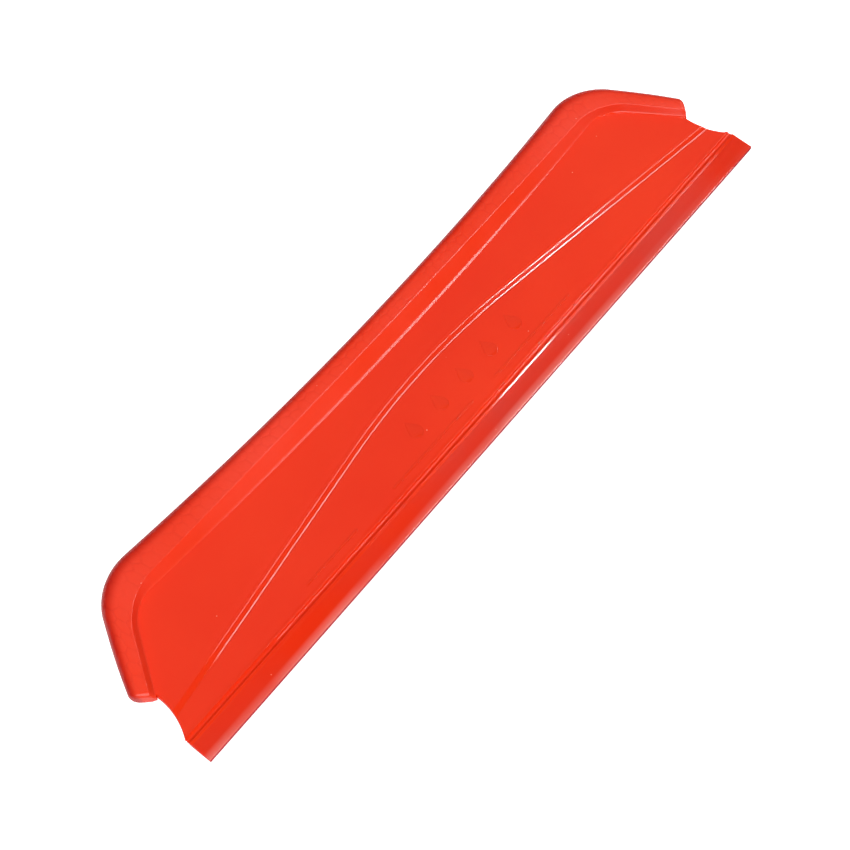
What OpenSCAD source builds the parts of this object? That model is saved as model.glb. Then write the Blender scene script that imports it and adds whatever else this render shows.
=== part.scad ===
// Hand-held water blade: one soft silicone moulding with a thick grip rim round three sides,
// a thin web with an arched step, a thin neck that bends, and a pair of slim wiping lips.
// It lies on its back: X along the blade, Y from the blade to the grip rim, Z out of the web.

/* [Wiping blade] */
// Length of the blade from end to end
blade_l = 305; // [240:1:380]
// Height of a lip, from the middle of the root bead to its wiping edge
lip_h = 8.0; // [5:0.1:12]
// Thickness of a lip where it leaves the root
lip_root_t = 1.1; // [0.9:0.05:1.2]
// Thickness of a lip at its wiping edge
lip_edge_t = 0.5; // [0.3:0.05:0.8]
// Distance between the middles of the two wiping edges
lip_spread = 1.0; // [1:0.1:4]
// Gap between the roots of the two lips
lip_gap = 0.34; // [0.2:0.02:1]
// Thickness of the bead outside a lip's root
bead_wall = 0.18; // [0.15:0.01:0.5]
// Distance from the middle of the bead down to the bending line of a lip
lip_drop = 0.75; // [0.6:0.05:1.2]
// Distance from the middle of the bead up to the bending line of the neck
neck_rise = 1.85; // [1.5:0.05:2.6]
// Thickness of the neck
neck_t = 1.4; // [1:0.1:1.8]
// Play between two zones that turn on each other
hinge_play = 0.05; // [0.03:0.01:0.1]

/* [Web] */
// Thickness of the web above the arched step
upper_t = 3.0; // [2.4:0.1:4]
// Thickness of the web below the arched step
lower_t = 2.0; // [1.6:0.1:2.4]
// Distance from the neck's round to the web's lower edge
web_clear = 0.2; // [0.1:0.05:1]
// Height of the top of the arched step above the middle of the bead
arch_y = 29.2; // [20:0.1:34]
// Radius of the round middle of the arched step
arch_r = 300; // [200:5:400]
// Slope of the straight flanks of the arched step, in degrees
arch_slope = 8.1; // [5:0.1:10]
// Radius of the scalloped ends of the web
scallop_r = 27; // [24:0.5:40]
// Height of the narrowest place of the web above the middle of the bead
scallop_y = 18.2; // [14:0.1:22]
// How far the web's narrowest place lies inside the blade's end
scallop_in = 4.7; // [4:0.1:8]

/* [Grip rim] */
// Thickness of the rim from crest to crest
rim_t = 9.0; // [6:0.1:14]
// Height of the rim's outer edge above the bead at mid length
outer_y = 57.1; // [50:0.1:80]
// Radius of the hollow curve of the outer edge
outer_hollow_r = 1440; // [900:10:4000]
// Radius of the outer corners
outer_corner_r = 22.4; // [15:0.1:26]
// Slant of the outer edge of the side legs, in degrees from upright
outer_slant = 31.1; // [24:0.1:36]
// How far the outer edge stands outside the blade's end at the height of the feet
outer_over = 1.1; // [-4:0.1:4]
// Width of the textured face at mid length, from the outer edge to the crest
grip_w = 8.5; // [6:0.1:14]
// Radius of the hollow curve of the crest
crest_hollow_r = 8600; // [2000:100:12000]
// Radius of the crest round the corners
crest_corner_r = 23.8; // [15:0.1:26]
// Slant of the crest along the side legs, in degrees from upright
crest_slant = 33; // [26:0.1:38]
// How far the crest lies inside the blade's end at the height of the feet
crest_in = 4.3; // [2:0.1:8]
// Width of the inner slope at mid length, from the crest to the web
slope_w = 6.3; // [4:0.1:10]
// Radius of the hollow curve of the inner slope's foot
inner_hollow_r = 1850; // [900:10:4000]
// Radius of the inner slope's foot round the corners
inner_corner_r = 14.6; // [10:0.1:22]
// Width of the inner slope at the feet, along the blade
foot_slope_w = 1.8; // [1.5:0.1:4]
// Height of the rim's feet above the bead
foot_y = 22.5; // [18:0.1:30]
// Direction of the cut across a foot, in degrees from the blade's line
foot_cut = 45; // [30:1:50]
// How far the rounded end of a foot stands out
foot_dome = 2.4; // [1.5:0.1:3.4]
// Share of the rim's height over the web that is left at a foot
foot_rise = 0.75; // [0.5:0.05:1]

/* [Moulded marks] */
// Height of the row of drops above the web's lower edge
mark_drop_y = 12.2; // [8:0.1:16]
// Height of the line marks above the web's lower edge
mark_line_y = 4.3; // [2:0.1:6]
// How far the plain marks stand out of the web
mark_relief = 0.3; // [0.2:0.05:0.6]
// Radius of a drop mark
mark_drop_r = 2.6; // [1.5:0.1:4]
// Distance between two drop marks
mark_pitch = 14; // [10:0.5:24]
// Width of the line marks
mark_line_w = 1.0; // [0.6:0.1:2]

/* [Hidden] */
silicone = [0.98, 0.25, 0.13];
silicone_lip = [0.92, 0.27, 0.18];
silicone_rim = [0.95, 0.26, 0.17];
half_l = blade_l / 2;
crest_z = rim_t / 2;
crest_y = outer_y - grip_w;
inner_y = crest_y - slope_w;
web_z = upper_t / 2;
neck_r = neck_t / 2;
web_edge_y = neck_rise + neck_r + web_clear;
corner_steps = 12;
top_steps = 16;
leg_steps = 4;
arch_steps = 20;
dome_steps = 4;
foot_square = 0.4;
round_fn = 96;

// lip hinges: the root of each lip is a round bar that turns in a seat of the bead
lip_r = lip_root_t / 2;
lip_axis_y = -lip_drop;
lip_axis_z = lip_gap / 2 + lip_r;
bead_z = lip_axis_z + lip_r + bead_wall;
bead_flat = 0.2;
bead_shoulder_y = 0.75;
bead_shoulder_in = 0.15;
root_bottom_y = lip_axis_y + 0.7 * lip_r;
root_bottom_z = bead_z - 0.05;
seat_depth = 0.15;
root_top_y = neck_rise - neck_r + seat_depth;
root_top_z = neck_r + 0.2;

// the three plan curves of the rim: height of the middle, hollow radius, corner radius,
// slant of the leg, and the place that the leg's line goes through
outer_c = [outer_y, outer_hollow_r, outer_corner_r, outer_slant, [half_l + outer_over, foot_y + 6.1]];
crest_c = [crest_y, crest_hollow_r, crest_corner_r, crest_slant, [half_l - crest_in, foot_y]];
inner_c = [inner_y, inner_hollow_r, inner_corner_r, crest_slant,
    [half_l - crest_in - foot_slope_w, foot_y - 0.5]];

// unit vectors of a leg: down the leg, and out of it
function leg_down(c) = [sin(c[3]), -cos(c[3])];
function leg_out(c) = [cos(c[3]), sin(c[3])];
function hollow_centre(c) = [0, c[0] + c[1]];
// centre of the corner round that touches both the hollow curve and the leg's line
function corner_start(c) = c[4] - c[2] * leg_out(c);
function corner_b(c) = (corner_start(c) - hollow_centre(c)) * -leg_down(c);
function corner_q(c) = norm(corner_start(c) - hollow_centre(c)) ^ 2 - (c[1] + c[2]) ^ 2;
function corner_centre(c) =
    corner_start(c) - leg_down(c) * (-corner_b(c) - sqrt(corner_b(c) ^ 2 - corner_q(c)));
function corner_end_angle(c) =
    let (d = hollow_centre(c) - corner_centre(c)) atan2(d[1], d[0]);
function hollow_end_angle(c) =
    let (d = corner_centre(c) - hollow_centre(c)) atan2(d[0], -d[1]);

// where a leg's line meets the cut across the foot
cut_dir = [cos(foot_cut), sin(foot_cut)];
function cross2(a, b) = a[0] * b[1] - a[1] * b[0];
function foot_point(c) =
    c[4] + leg_down(c) * (cross2(crest_c[4] - c[4], cut_dir) / cross2(leg_down(c), cut_dir));

// points of the right half of a plan curve, from the foot to the middle
function half_curve(c) =
    let (m = corner_centre(c), f = foot_point(c), a1 = corner_end_angle(c), h = hollow_end_angle(c),
        leg_top = m + c[2] * leg_out(c))
    [
        for (i = [0 : leg_steps - 1]) f + (leg_top - f) * i / leg_steps,
        for (i = [0 : corner_steps])
            let (a = c[3] + (a1 - c[3]) * i / corner_steps) m + c[2] * [cos(a), sin(a)],
        for (i = [1 : top_steps])
            let (a = h * (1 - i / top_steps)) hollow_centre(c) + c[1] * [sin(a), -cos(a)]
    ];
function flip(p) = [-p[0], p[1]];
function whole_curve(half) =
    concat(half, [for (i = [len(half) - 2 : -1 : 0]) flip(half[i])]);

inner_pts = whole_curve(half_curve(inner_c));
crest_pts = whole_curve(half_curve(crest_c));
outer_pts = whole_curve(half_curve(outer_c));

// where the inner line of the leg meets the scalloped end of the web
scallop_c = [half_l - scallop_in + scallop_r, scallop_y];
tip_b = (inner_c[4] - scallop_c) * leg_down(inner_c);
tip_q = norm(inner_c[4] - scallop_c) ^ 2 - scallop_r ^ 2;
web_tip = inner_c[4] + leg_down(inner_c) * (-tip_b - sqrt(tip_b ^ 2 - tip_q));

// frame: the object's box is centred on X and Y, and its back rests on Z = 0
y_top = corner_centre(outer_c)[1] + outer_corner_r;
y_mid = (y_top - lip_h) / 2;

// rim section: place across the rim (0 inner foot, 1 crest, 2 outer edge) and height
slope_sec = [[0, web_z], [0.2, web_z + 0.12 * (crest_z - web_z)], [0.88, web_z + 0.9 * (crest_z - web_z)],
    [1, crest_z]];
grip_sec = [[1.35, crest_z * 0.98], [1.65, crest_z * 0.9], [1.84, crest_z * 0.7], [1.95, crest_z * 0.4]];
half_sec = concat(slope_sec, grip_sec);
n_half = len(half_sec);
rim_sec = concat(half_sec, [[2, 0]], [for (i = [n_half - 1 : -1 : 0]) [half_sec[i][0], -half_sec[i][1]]]);
n_sec = len(rim_sec);

function across(i, u) = u <= 1
    ? inner_pts[i] + (crest_pts[i] - inner_pts[i]) * u
    : crest_pts[i] + (outer_pts[i] - crest_pts[i]) * (u - 1);
// height of a section point where only that share of the rise over the web is left
function share_z(z, s) = abs(z) <= web_z ? z : sign(z) * (web_z + (abs(z) - web_z) * s);
// a leg gets lower towards its foot
function leg_share(i) =
    let (k = min(i, last - i) / leg_steps) foot_rise + (1 - foot_rise) * min(k, 1);
// a foot's dome: the section moves down the leg, thins to the web and draws in at the outside
function dome_ring(i, side, a) =
    let (d = [side * leg_down(crest_c)[0], leg_down(crest_c)[1]] * foot_dome * sin(a))
    [
        for (p = rim_sec)
            let (u = p[0] > 1 ? 1 + (p[0] - 1) * (0.6 + 0.4 * cos(a)) : p[0], q = across(i, u) + d)
            [q[0], q[1], share_z(p[1], foot_rise * cos(a) ^ foot_square)]
    ];
last = len(inner_pts) - 1;
rim_rings = concat(
    [for (k = [dome_steps : -1 : 1]) dome_ring(0, 1, 90 * k / dome_steps)],
    [for (i = [0 : last])
        [for (p = rim_sec) let (q = across(i, p[0])) [q[0], q[1], share_z(p[1], leg_share(i))]]],
    [for (k = [1 : dome_steps]) dome_ring(last, -1, 90 * k / dome_steps)]
);
n_rings = len(rim_rings);
function ring_quad(r, k) =
    let (a = r * n_sec + k, b = r * n_sec + (k + 1) % n_sec)
    [[a, b, b + n_sec], [a, b + n_sec, a + n_sec]];
rim_sides = [for (r = [0 : n_rings - 2]) for (k = [0 : n_sec - 1]) each ring_quad(r, k)];
rim_start = [for (k = [1 : n_sec - 2]) [0, k + 1, k]];
rim_end = [for (k = [1 : n_sec - 2]) (n_rings - 1) * n_sec * [1, 1, 1] + [0, k, k + 1]];

// arched step: a round middle and two straight flanks that touch it
arch_flat_x = arch_r * sin(arch_slope);
arch_flat_y = arch_y - arch_r * (1 - cos(arch_slope));
arch_mid = [for (i = [-arch_steps / 2 : arch_steps / 2])
    let (a = 2 * arch_slope * i / arch_steps) [arch_r * sin(a), arch_y - arch_r * (1 - cos(a))]];
arch_far_x = half_l + 20;
arch_far_y = arch_flat_y - (arch_far_x - arch_flat_x) * tan(arch_slope);

// the line marks: middle and length of each
mark_x = 6;
mark_lines = [[-76, 26], [-22, 44], [34, 44]];
// a drop: a round that two lines from its tip touch
drop_pts = concat([[0, 2 * mark_drop_r]],
    [for (i = [0 : corner_steps * 2]) let (a = 150 + 120 * i / corner_steps) mark_drop_r * [cos(a), sin(a)]]);

module in_frame() {
    translate([0, -y_mid, crest_z]) children();
}

// turns a section drawn in (Y, Z) into a bar along the blade
module along_blade() {
    rotate([90, 0, 90]) linear_extrude(height = blade_l, center = true) children();
}

module grip_rim() {
    color(silicone_rim) in_frame()
        polyhedron(points = [for (r = rim_rings) each r], faces = concat(rim_sides, rim_start, rim_end));
}

// outline of the whole web between the rim, the scalloped ends and the neck
module web_outline() {
    difference() {
        polygon(concat(
            [[half_l, web_edge_y], [web_tip[0], web_tip[1]]], inner_pts,
            [flip(web_tip), [-half_l, web_edge_y]]
        ));
        for (s = [-1, 1]) translate([s * scallop_c[0], scallop_c[1]]) circle(r = scallop_r, $fn = round_fn);
    }
}

module under_arch() {
    polygon(concat(
        [[-arch_far_x, -lip_h], [-arch_far_x, arch_far_y]], arch_mid,
        [[arch_far_x, arch_far_y], [arch_far_x, -lip_h]]
    ));
}

module upper_web() {
    color(silicone) in_frame() linear_extrude(height = upper_t, center = true)
        difference() {
            web_outline();
            under_arch();
        }
}

module lower_web() {
    color(silicone) in_frame() linear_extrude(height = lower_t, center = true)
        intersection() {
            web_outline();
            under_arch();
        }
}

module neck() {
    color(silicone) in_frame() along_blade() {
        translate([neck_rise, 0]) circle(r = neck_r, $fn = round_fn);
        translate([neck_rise, -neck_r]) square([web_edge_y - neck_rise, neck_t]);
    }
}

module blade_root() {
    half = [
        [root_top_y, root_top_z], [bead_shoulder_y, bead_z - bead_shoulder_in], [bead_flat, bead_z],
        [-bead_flat, bead_z], [root_bottom_y, root_bottom_z]
    ];
    mirrored = [for (i = [len(half) - 1 : -1 : 0]) [half[i][0], -half[i][1]]];
    color(silicone) in_frame() along_blade() difference() {
        polygon(concat(half, mirrored));
        translate([neck_rise, 0]) circle(r = neck_r + hinge_play, $fn = round_fn);
        for (s = [-1, 1])
            translate([lip_axis_y, s * lip_axis_z]) circle(r = lip_r + hinge_play, $fn = round_fn);
    }
}

module lip(side) {
    edge_z = side * lip_spread / 2;
    root_z = side * lip_axis_z;
    color(silicone_lip) in_frame() along_blade() {
        translate([lip_axis_y, root_z]) circle(r = lip_r, $fn = round_fn);
        polygon([
            [lip_axis_y, root_z - lip_r], [lip_axis_y, root_z + lip_r],
            [-lip_h, edge_z + lip_edge_t / 2], [-lip_h, edge_z - lip_edge_t / 2]
        ]);
    }
}

module front_lip() {
    lip(1);
}

module rear_lip() {
    lip(-1);
}

// plain drops and lines, low relief on the front of the lower web
module moulded_marks() {
    color(silicone) in_frame() translate([0, 0, lower_t / 2]) linear_extrude(height = mark_relief) {
        for (i = [-2 : 2]) translate([mark_x + i * mark_pitch, web_edge_y + mark_drop_y]) polygon(drop_pts);
        for (m = mark_lines)
            translate([m[0], web_edge_y + mark_line_y]) square([m[1], mark_line_w], center = true);
    }
}

grip_rim();
upper_web();
lower_web();
neck();
blade_root();
front_lip();
rear_lip();
moulded_marks();
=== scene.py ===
"""Hand-held silicone water blade: its skins, its finishes and its studio.

Every size is in metres. The shapes are worked out in blade space, which has its origin in the middle of
the root bead, X along the blade, Y up to the grip rim and Z out of the web's front, and are then moved
to the place that the frame gives.
"""

import math

import bmesh
import bpy
from bpy.props import FloatProperty, FloatVectorProperty, IntProperty, PointerProperty
from mathutils import Matrix, Quaternion, Vector, noise


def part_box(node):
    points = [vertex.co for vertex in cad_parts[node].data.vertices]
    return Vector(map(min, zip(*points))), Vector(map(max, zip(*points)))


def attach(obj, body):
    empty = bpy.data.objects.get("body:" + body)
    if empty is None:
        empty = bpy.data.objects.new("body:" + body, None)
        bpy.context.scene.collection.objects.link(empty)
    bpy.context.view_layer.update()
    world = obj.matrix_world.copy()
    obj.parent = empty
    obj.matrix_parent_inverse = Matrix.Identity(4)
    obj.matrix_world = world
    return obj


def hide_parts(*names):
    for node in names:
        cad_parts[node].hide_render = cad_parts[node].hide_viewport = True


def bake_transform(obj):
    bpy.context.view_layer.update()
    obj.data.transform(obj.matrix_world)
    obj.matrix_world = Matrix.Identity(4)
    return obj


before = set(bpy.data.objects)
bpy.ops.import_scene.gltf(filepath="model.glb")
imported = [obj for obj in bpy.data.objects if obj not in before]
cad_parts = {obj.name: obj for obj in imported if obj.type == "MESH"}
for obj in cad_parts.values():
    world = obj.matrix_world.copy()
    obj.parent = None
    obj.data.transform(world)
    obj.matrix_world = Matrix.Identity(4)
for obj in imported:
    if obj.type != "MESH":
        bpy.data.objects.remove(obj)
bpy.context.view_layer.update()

bl_info = {
    "name": "Water blade",
    "version": (1, 0, 0),
    "blender": (4, 5, 0),
    "location": "View3D > Sidebar > Water Blade",
    "description": "Builds a silicone water blade with its finishes and a plain studio",
    "category": "Add Mesh",
}

MM = 0.001
MERGE = 1e-6
CREASE = math.radians(50)


def span(node):
    """Size of a frame node along each axis."""
    low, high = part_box(node)
    return high - low


def length_prop(name, default, description):
    """A length that a user may change."""
    return FloatProperty(name=name, description=description, default=default, unit="LENGTH", precision=5)


def angle_prop(name, degrees, description):
    """An angle that a user may change."""
    return FloatProperty(name=name, description=description, default=math.radians(degrees), unit="ROTATION")


def colour_prop(name, default, description):
    """A colour that a user may change."""
    return FloatVectorProperty(
        name=name, description=description, default=default, subtype="COLOR", size=3, min=0, max=1
    )


class BladeSizes(bpy.types.PropertyGroup):
    """Sizes of the neck, the root bead and the two lips."""

    length: length_prop("Length", span("blade_root").x, "From one end of the blade to the other")
    lip_height: length_prop("Lip height", 8.0 * MM, "From the middle of the bead to a wiping edge")
    lip_root: length_prop("Lip root", 1.1 * MM, "Thickness of a lip at its root")
    lip_edge: length_prop("Lip edge", 0.5 * MM, "Thickness of a lip at its wiping edge")
    lip_root_z: length_prop("Lip root place", 0.72 * MM, "From the mid plane to the middle of a lip's root")
    lip_edge_z: length_prop("Lip edge place", 0.5 * MM, "From the mid plane to the middle of a wiping edge")
    bead_half: length_prop("Bead half thickness", span("blade_root").z / 2, "Half the bead's thickness")
    bead_low: length_prop("Bead bottom", -0.45 * MM, "Height of the bead's lower side")
    bead_high: length_prop("Bead top", 1.35 * MM, "Height of the bead's upper side")
    neck_half: length_prop("Neck half thickness", 0.66 * MM, "Half the neck's thickness at its waist")
    neck_flare: length_prop("Neck flare", 0.3 * MM, "How much thicker the neck is where it joins")
    end_round: length_prop("End rounding", 0.1 * MM, "Rounding of a lip's two ends")
    bead_end_round: length_prop("Bead end rounding", 0.12 * MM, "Rounding of the bead's two ends")


class WebSizes(bpy.types.PropertyGroup):
    """Sizes of the thin web and its arched step."""

    upper: length_prop("Upper thickness", span("upper_web").z, "Thickness above the arched step")
    lower: length_prop("Lower thickness", span("lower_web").z, "Thickness below the arched step")
    edge_y: length_prop("Lower edge", 2.75 * MM, "Height of the web's lower edge above the bead")
    arch_y: length_prop("Arch top", 29.2 * MM, "Height of the arched step in the middle")
    arch_radius: length_prop("Arch radius", 300 * MM, "Radius of the round middle of the step")
    arch_slope: angle_prop("Arch slope", 8.1, "Slope of the step's straight flanks")
    step_width: length_prop("Step width", 2.4 * MM, "Width of the sloping step, seen from the front")
    step_soft: FloatProperty(
        name="Step softness", description="Share of the step that is rounded", default=0.46, min=0.05, max=1
    )
    scallop_radius: length_prop("Scallop radius", 27 * MM, "Radius of the hollow ends")
    scallop_y: length_prop("Scallop height", 18.2 * MM, "Height of the narrowest place")
    scallop_in: length_prop("Scallop depth", 4.7 * MM, "How far the narrowest place lies inside the end")
    edge_round: length_prop("Edge rounding", 0.55 * MM, "Rounding of the web's free edges")


class RimSizes(bpy.types.PropertyGroup):
    """Sizes of the grip rim."""

    thickness: length_prop("Thickness", span("grip_rim").z, "From crest to crest")
    outer_y: length_prop("Outer edge", 57.1 * MM, "Height of the outer edge at mid length")
    outer_hollow: length_prop("Outer hollow", 1440 * MM, "Radius of the outer edge's hollow")
    outer_corner: length_prop("Outer corner", 22.4 * MM, "Radius of the outer corner")
    outer_slant: angle_prop("Outer slant", 31.1, "Slant of the outer edge along the legs")
    outer_over: length_prop("Outer overhang", 1.1 * MM, "How far the outer edge passes the blade's end")
    outer_leg: length_prop("Outer leg", 6.1 * MM, "Height above the feet where the overhang is measured")
    crest_y: length_prop("Crest", 48.6 * MM, "Height of the crest at mid length")
    crest_hollow: length_prop("Crest hollow", 8600 * MM, "Radius of the crest's hollow")
    crest_corner: length_prop("Crest corner", 23.8 * MM, "Radius of the crest's corner")
    crest_slant: angle_prop("Crest slant", 33, "Slant of the crest along the legs")
    crest_in: length_prop("Crest inset", 4.3 * MM, "How far the crest lies inside the blade's end")
    inner_y: length_prop("Slope foot", 42.3 * MM, "Height of the inner slope's foot at mid length")
    inner_hollow: length_prop("Slope foot hollow", 1850 * MM, "Radius of the slope foot's hollow")
    inner_corner: length_prop("Slope foot corner", 14.6 * MM, "Radius of the slope foot's corner")
    inner_leg: length_prop("Slope foot leg", -0.5 * MM, "Height against the feet of the slope's lower end")
    foot_slope: length_prop("Foot slope", 1.8 * MM, "Width of the inner slope at the feet")
    foot_y: length_prop("Foot height", 22.5 * MM, "Height of the feet above the bead")
    foot_dome: length_prop("Foot dome", 2.4 * MM, "How far the rounded end of a foot stands out")
    foot_rise: FloatProperty(
        name="Foot rise", description="Share of the rim's height over the web that is left at a foot",
        default=0.75, min=0.3, max=1,
    )
    foot_taper: length_prop("Foot taper", 15 * MM, "Length over which a foot gets narrower")
    foot_cut: angle_prop("Foot cut", 45, "Direction of the cut across a foot")
    scale_pitch: length_prop("Scale pitch", 4.4 * MM, "Distance between two scales of the grip pattern")
    scale_depth: length_prop("Scale depth", 0.09 * MM, "Depth of the lines round the scales")
    scale_line: length_prop("Scale line", 0.42 * MM, "Half the width of the lines round the scales")
    ring_step: length_prop("Ring step", 0.46 * MM, "Distance between two rings of the rim's mesh")


class MarkSizes(bpy.types.PropertyGroup):
    """Sizes of the plain moulded marks."""

    relief: length_prop("Relief", 0.1 * MM, "How far the marks stand out of the web")
    soft: length_prop("Soft edge", 0.14 * MM, "Rounding of a mark's edge")
    drops: IntProperty(name="Drops", description="Number of drop marks", default=5, min=1)
    drop_radius: length_prop("Drop radius", 2.6 * MM, "Radius of a drop")
    drop_pitch: length_prop("Drop pitch", 14 * MM, "Distance between two drops")
    drop_y: length_prop("Drop height", 14.95 * MM, "Height of the row of drops above the bead")
    middle_x: length_prop("Row middle", 6 * MM, "Where the middle of the row of drops is")
    line_y: length_prop("Line height", 7.05 * MM, "Height of the line marks above the bead")
    line_width: length_prop("Line width", 1.0 * MM, "Width of the line marks")


class FinishColours(bpy.types.PropertyGroup):
    """Colours of the silicone and the studio."""

    web: colour_prop("Web", (0.90, 0.036, 0.004), "Glossy silicone of the web")
    web_deep: colour_prop("Web, deep", (0.85, 0.027, 0.002), "The web's darker clouds")
    grip: colour_prop("Grip", (0.95, 0.058, 0.026), "Satin silicone of the grip rim")
    # painted shade in the pattern's lines and on the rim's outer side
    grip_painted_shade: colour_prop("Grip, deep", (0.55, 0.007, 0.002), "Lines and sides of the grip rim")
    lip: colour_prop("Lip", (0.72, 0.036, 0.018), "Thin silicone of the lips")
    # painted light: light shining through a lip's edge, put into its colour
    lip_glow: colour_prop("Lip glow", (0.88, 0.24, 0.20), "Light that shines through a lip's edge")
    # painted shade along the very edge of a lip
    lip_edge: colour_prop("Lip edge", (0.45, 0.03, 0.05), "The very edge of a lip")
    speck: colour_prop("Specks", (1.0, 0.30, 0.20), "Tiny pale specks in the silicone")
    floor: colour_prop("Floor", (0.97, 0.97, 0.97), "Studio floor")


class StudioSetup(bpy.types.PropertyGroup):
    """Where the camera and the lights stand."""

    aim: FloatVectorProperty(
        name="Aim",
        description="Point that the camera looks at",
        default=(-0.01774, -0.01264, 0.0045),
        subtype="TRANSLATION",
        unit="LENGTH",
        precision=5,
    )
    distance: length_prop("Distance", 0.5555, "From the camera to the point it looks at")
    azimuth: angle_prop("Azimuth", -49.8, "Turn of the camera round the object")
    elevation: angle_prop("Elevation", 62.67, "Height of the camera above the horizon")
    roll: angle_prop("Roll", 1.37, "Tilt of the camera")
    lens: FloatProperty(name="Lens", description="Focal length in millimetres", default=67.6, unit="CAMERA")
    fill: FloatProperty(name="Surroundings", description="Brightness all round", default=0.15, min=0)
    key: FloatProperty(name="Key light", description="Brightness of the key light", default=5.0, min=0)
    top: FloatProperty(name="Top light", description="Brightness of the wide top light", default=0.3, min=0)
    streak: FloatProperty(
        name="Streak light", description="Brightness of the small light", default=80, min=0
    )
    strip: FloatProperty(name="Strip light", description="Brightness of the long light", default=14, min=0)


# ---------------------------------------------------------------- curves of the blade


class PlanCurve:
    """One of the rim's plan curves: half of it runs from the foot (0) up a straight leg (1), round the
    corner (2) and along a shallow hollow to the middle (3)."""

    def __init__(self, middle, hollow, corner, slant, leg_point):
        self.hollow, self.corner, self.slant = hollow, corner, slant
        self.down = Vector((math.sin(slant), -math.cos(slant)))
        self.out = Vector((math.cos(slant), math.sin(slant)))
        self.leg_point = Vector(leg_point)
        self.hollow_centre = Vector((0, middle + hollow))
        start = self.leg_point - corner * self.out
        away = start - self.hollow_centre
        along = -away.dot(self.down)
        miss = away.length_squared - (hollow + corner) ** 2
        self.corner_centre = start + self.down * (along + math.sqrt(along * along - miss))
        gap = self.hollow_centre - self.corner_centre
        self.corner_end = math.atan2(gap.y, gap.x)
        self.hollow_end = math.atan2(-gap.x, gap.y)
        self.leg_top = self.corner_centre + corner * self.out
        self.foot = self.leg_point

    def cut_foot(self, through, direction):
        """Ends the leg on the line that cuts across the foot."""
        def cross(a, b):
            return a.x * b.y - a.y * b.x

        self.foot = self.leg_point + self.down * (
            cross(through - self.leg_point, direction) / cross(self.down, direction)
        )

    def lengths(self):
        """Lengths of the leg, the corner and half the hollow."""
        return (
            (self.leg_top - self.foot).length,
            self.corner * (self.corner_end - self.slant),
            self.hollow * self.hollow_end,
        )

    def point(self, t):
        """Point at t on the right half."""
        if t < 1:
            return self.foot.lerp(self.leg_top, t)
        if t < 2:
            a = self.slant + (self.corner_end - self.slant) * (t - 1)
            return self.corner_centre + self.corner * Vector((math.cos(a), math.sin(a)))
        a = self.hollow_end * (3 - t)
        return self.hollow_centre + self.hollow * Vector((math.sin(a), -math.cos(a)))

    def height(self, x):
        """Height of the curve above a place along the blade."""
        x = abs(x)
        if x <= self.point(2).x:
            return self.hollow_centre.y - math.sqrt(self.hollow**2 - x * x)
        if x <= self.leg_top.x:
            return self.corner_centre.y + math.sqrt(self.corner**2 - (x - self.corner_centre.x) ** 2)
        return self.leg_top.y + (x - self.leg_top.x) * self.down.y / self.down.x


def rim_curves(scene):
    """The plan curves of the slope's foot, the crest and the outer edge."""
    rim, half = scene.water_blade_rim, scene.water_blade_blade.length / 2
    outer_leg = (half + rim.outer_over, rim.foot_y + rim.outer_leg)
    crest_leg = (half - rim.crest_in, rim.foot_y)
    inner_leg = (half - rim.crest_in - rim.foot_slope, rim.foot_y + rim.inner_leg)
    outer = PlanCurve(rim.outer_y, rim.outer_hollow, rim.outer_corner, rim.outer_slant, outer_leg)
    crest = PlanCurve(rim.crest_y, rim.crest_hollow, rim.crest_corner, rim.crest_slant, crest_leg)
    inner = PlanCurve(rim.inner_y, rim.inner_hollow, rim.inner_corner, rim.crest_slant, inner_leg)
    cut = Vector((math.cos(rim.foot_cut), math.sin(rim.foot_cut)))
    for curve in (inner, crest, outer):
        curve.cut_foot(crest.leg_point, cut)
    return inner, crest, outer


def arch_height(web, x):
    """Height of the arched step above a place along the blade."""
    x = abs(x)
    flat_x = web.arch_radius * math.sin(web.arch_slope)
    if x < flat_x:
        return web.arch_y - web.arch_radius + math.sqrt(web.arch_radius**2 - x * x)
    flat_y = web.arch_y - web.arch_radius * (1 - math.cos(web.arch_slope))
    return flat_y - (x - flat_x) * math.tan(web.arch_slope)


def web_half(web, half, y):
    """Half the web's length at a height, between the hollow ends."""
    rise = y - web.scallop_y
    centre = half - web.scallop_in + web.scallop_radius
    reach = math.sqrt(web.scallop_radius**2 - min(rise, 0) ** 2)
    return min(half, centre - reach)


def smooth_step(x):
    """Rises softly from 0 to 1."""
    x = min(max(x, 0), 1)
    return x * x * (3 - 2 * x)


def soft_ramp(x, soft):
    """Rises straight from 0 to 1, with a rounded start and end that together take up that share."""
    bend = soft / 2
    slope = 1 / (1 - bend)
    if x < bend:
        return slope * x * x / (2 * bend)
    if x > 1 - bend:
        return 1 - slope * (1 - x) ** 2 / (2 * bend)
    return slope * (x - bend / 2)


def spline_point(points, place):
    """Point of a smooth curve through the points; the first and the last one only steer it."""
    i = min(int(place), len(points) - 4)
    t = place - i
    a, b, c, d = (Vector(p) for p in points[i : i + 4])
    return 0.5 * (
        2 * b + (c - a) * t + (2 * a - 5 * b + 4 * c - d) * t * t + (3 * b - a - 3 * c + d) * t**3
    )


# ---------------------------------------------------------------- shared mesh work


def bead_middle(scene):
    """Where blade space has its origin in the frame."""
    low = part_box("front_lip")[0].y
    rim_low, rim_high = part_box("grip_rim")
    return Vector((0, low + scene.water_blade_blade.lip_height, (rim_low.z + rim_high.z) / 2))


def shaped_grid(columns, rows, shape):
    """A grid of cells whose corners are carried to shape(column, row)."""
    bm = bmesh.new()
    bmesh.ops.create_grid(bm, x_segments=columns, y_segments=rows, size=0.5)
    for vert in bm.verts:
        vert.co = shape(round((vert.co.x + 0.5) * columns), round((vert.co.y + 0.5) * rows))
    return bm


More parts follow.
